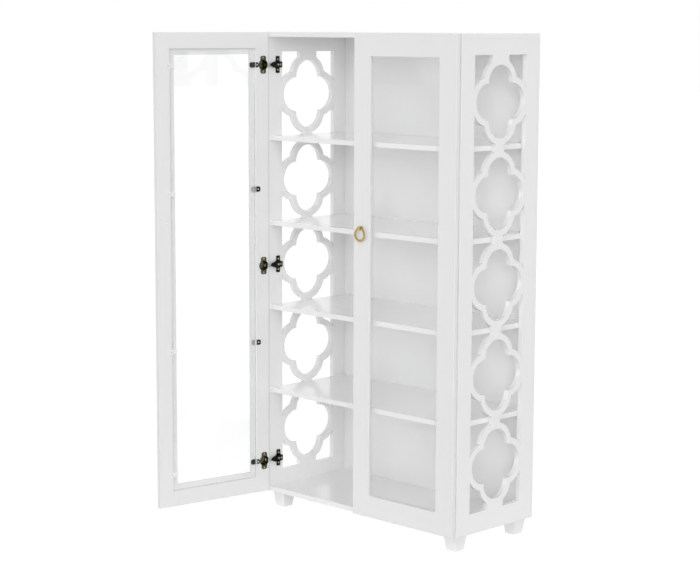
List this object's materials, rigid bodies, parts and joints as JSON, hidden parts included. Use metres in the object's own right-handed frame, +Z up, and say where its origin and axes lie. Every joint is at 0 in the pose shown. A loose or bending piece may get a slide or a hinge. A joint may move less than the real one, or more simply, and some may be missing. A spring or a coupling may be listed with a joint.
{
  "type": "bookcase with glass doors",
  "caption": "Tall white bookcase with pierced quatrefoil sides, open shelves behind hinged glass doors with brass ring pulls, and tapered feet.",
  "frame": {"origin": "on the floor, under the middle of the case's plan (doors left out)", "axes": "+X to the right seen from the front, +Y to the back, +Z up"},
  "size_m": [0.8669, 0.7391, 1.482],
  "materials": {
    "white_board": "smooth white satin paint",
    "white_foot": "smooth white satin paint",
    "white_door": "smooth white satin paint",
    "clear_glass": "clear, polished",
    "bare_wood": "bare",
    "warm_brass": "polished",
    "white_clip": "white",
    "dark_clip": "dark, polished",
    "dark_hinge": "dark bronzed",
    "bright_steel": "plated"
  },
  "bodies": {
    "case": {"back_left_foot": "white_foot", "back_panel": "white_board", "back_right_foot": "white_foot", "back_screws": "bright_steel", "bottom_panel": "white_board", "foot_screws": "bright_steel", "front_left_foot": "white_foot", "front_right_foot": "white_foot", "left_arm_screws": "bright_steel", "left_hinge_arms": "dark_hinge", "left_hinge_plates": "dark_hinge", "left_plate_screws": "bright_steel", "left_side_panel": "white_board", "panel_dowels": "bare_wood", "right_arm_screws": "bright_steel", "right_hinge_arms": "dark_hinge", "right_hinge_plates": "dark_hinge", "right_plate_screws": "bright_steel", "right_side_panel": "white_board", "shelf_1": "white_board", "shelf_2": "white_board", "shelf_3": "white_board", "shelf_4": "white_board", "shelf_dowels": "bare_wood", "top_panel": "white_board"},
    "left_door": {"left_door_frame": "white_door", "left_door_glass": "clear_glass", "left_hinge_side_clips": "dark_clip", "left_free_side_clips": "white_clip", "left_clip_screws": "bright_steel", "left_hinge_cups": "dark_hinge", "left_hinge_pins": "dark_hinge", "left_cup_screws": "bright_steel", "left_pull_post": "warm_brass", "left_pull_screw": "bright_steel"},
    "left_ring": {"left_pull_ring": "warm_brass"},
    "right_door": {"right_door_frame": "white_door", "right_door_glass": "clear_glass", "right_hinge_side_clips": "dark_clip", "right_free_side_clips": "white_clip", "right_clip_screws": "bright_steel", "right_hinge_cups": "dark_hinge", "right_hinge_pins": "dark_hinge", "right_cup_screws": "bright_steel", "right_pull_post": "warm_brass", "right_pull_screw": "bright_steel"},
    "right_ring": {"right_pull_ring": "warm_brass"}
  },
  "joints": [
    {"name": "left_door_hinge", "type": "hinge", "parent": "case", "child": "left_door", "pos_m": [-0.39, -0.182, 0.76665], "axis": [0, 0, 1], "range_deg": [0, 99]},
    {"name": "right_door_hinge", "type": "hinge", "parent": "case", "child": "right_door", "pos_m": [0.39, -0.182, 0.76665], "axis": [0, 0, 1], "range_deg": [0, 99]},
    {"name": "left_ring_swing", "type": "hinge", "parent": "left_door", "child": "left_ring", "pos_m": [-0.4607, -0.53124, 0.9155], "axis": [0.1564, 0.9877, 0], "range_deg": [-7, 187]},
    {"name": "right_ring_swing", "type": "hinge", "parent": "right_door", "child": "right_ring", "pos_m": [0.034, -0.1972, 0.9155], "axis": [-1, 0, 0], "range_deg": [-7, 187]}
  ]
}
